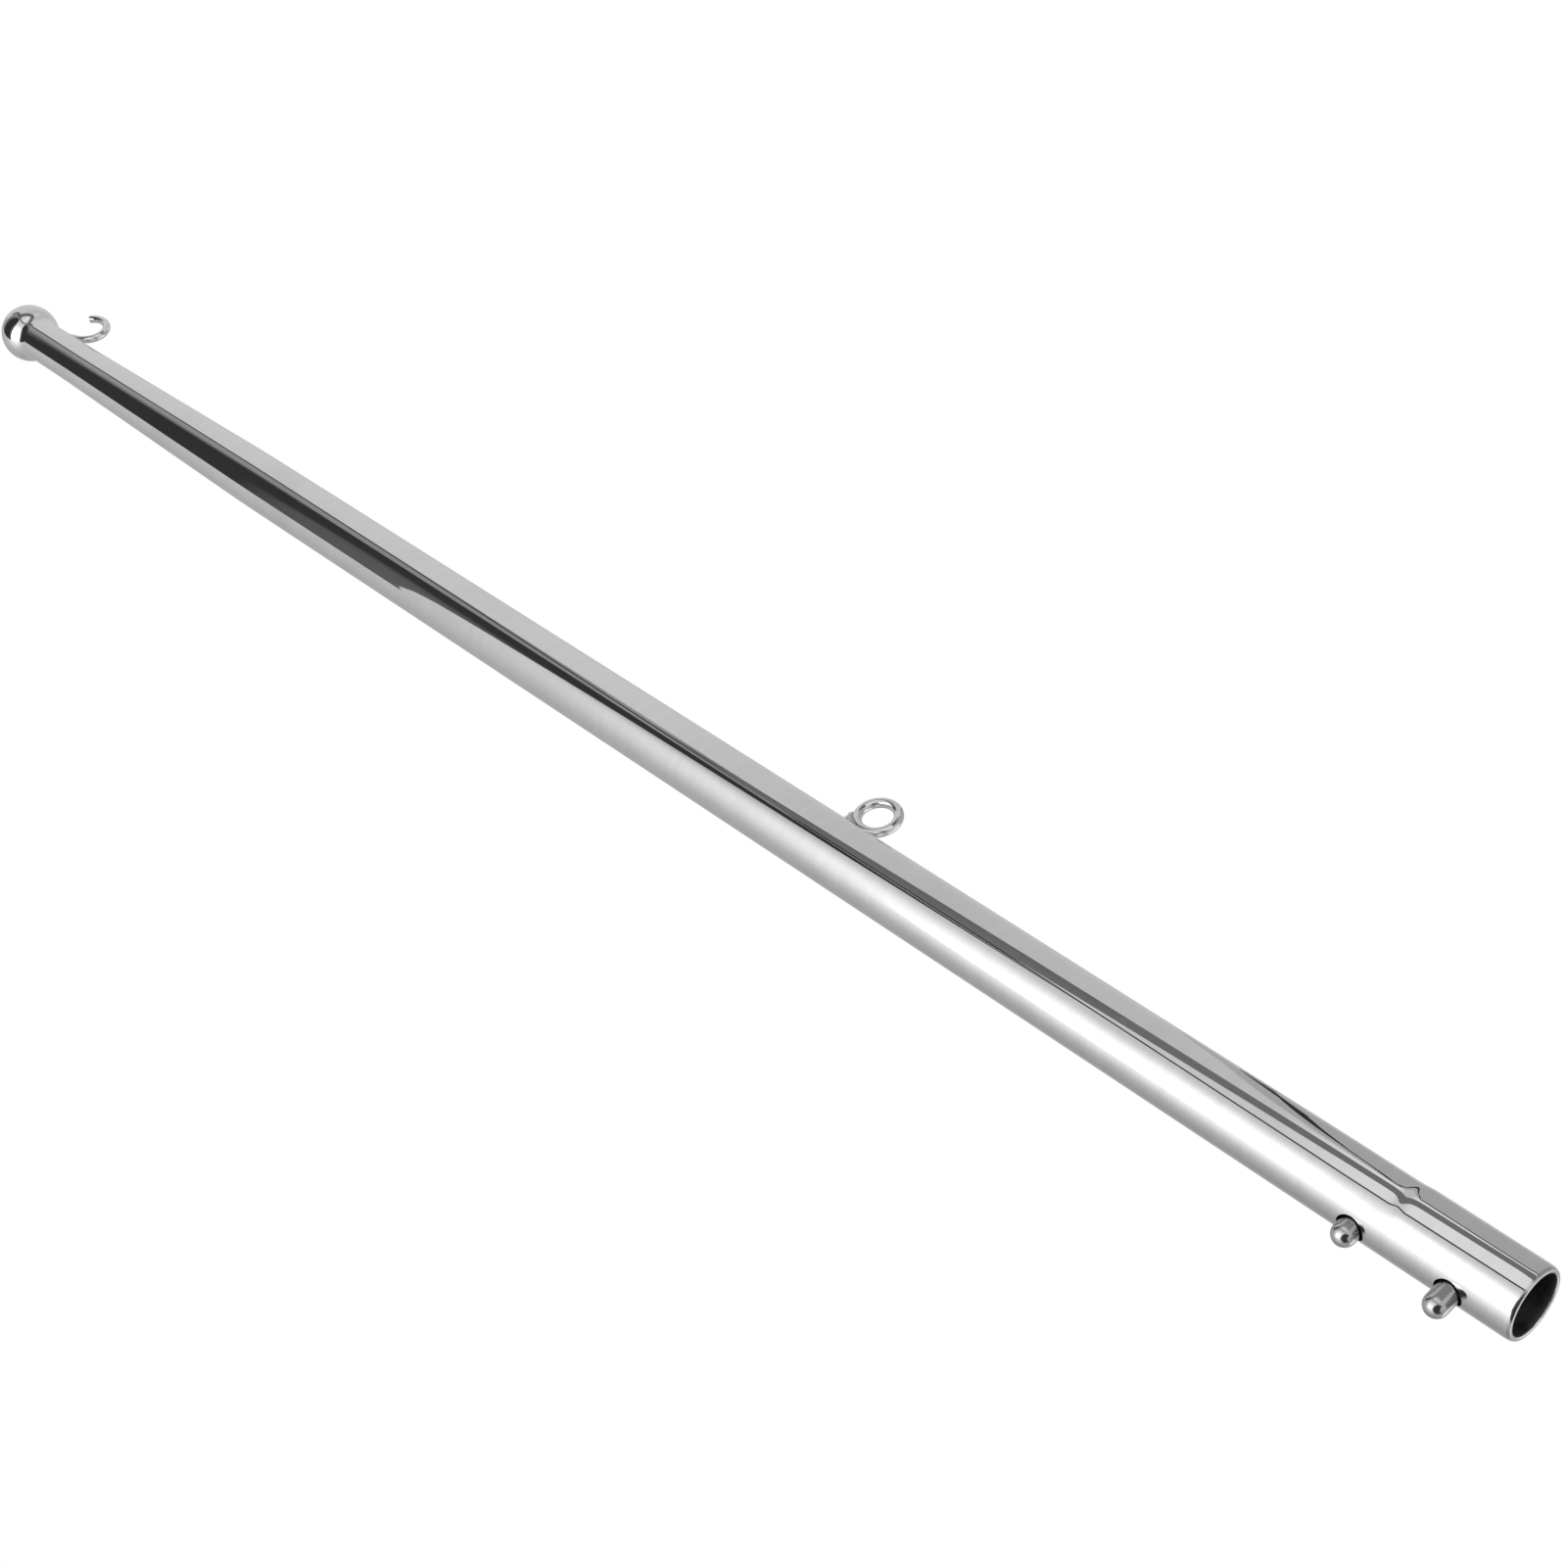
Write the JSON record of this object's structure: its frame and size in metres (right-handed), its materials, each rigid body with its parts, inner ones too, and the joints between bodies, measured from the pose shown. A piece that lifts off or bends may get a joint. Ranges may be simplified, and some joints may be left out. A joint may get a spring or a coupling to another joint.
{
  "type": "flagpole",
  "caption": "Short polished flagpole for a round socket: tapered top with a ball, hook and eye for the flag, and sprung locking buttons near the foot.",
  "frame": {"origin": "centre of the foot's ring-shaped end face", "axes": "+Z along the pole from the foot to the ball; +X towards the hook and the eye; the buttons point along -X"},
  "size_m": [0.0542, 0.0284, 0.919],
  "materials": {
    "polished_tube": "mirror polished stainless steel",
    "polished_ball": "mirror polished stainless steel",
    "polished_wire": "polished stainless steel wire",
    "weld_bead": "cleaned and polished weld metal",
    "turned_button": "turned stainless steel, satin",
    "spring_wire": "drawn spring steel wire"
  },
  "bodies": {
    "pole": {"pole_tube": "polished_tube", "ball_finial": "polished_ball", "flag_hook": "polished_wire", "hook_weld": "weld_bead", "flag_eye": "polished_wire", "eye_weld": "weld_bead", "lower_spring": "spring_wire", "upper_spring": "spring_wire"},
    "lower_button": {"lower_button": "turned_button"},
    "upper_button": {"upper_button": "turned_button"}
  },
  "joints": [
    {"name": "lower_button_press", "type": "slide", "parent": "pole", "child": "lower_button", "axis": [1, 0, 0], "range_m": [0, 0.0093], "stiffness_N_per_m": 900, "springref_m": -0.004, "deforming": ["lower_spring"]},
    {"name": "upper_button_press", "type": "slide", "parent": "pole", "child": "upper_button", "axis": [1, 0, 0], "range_m": [0, 0.0066], "stiffness_N_per_m": 900, "springref_m": -0.004, "deforming": ["upper_spring"]}
  ]
}
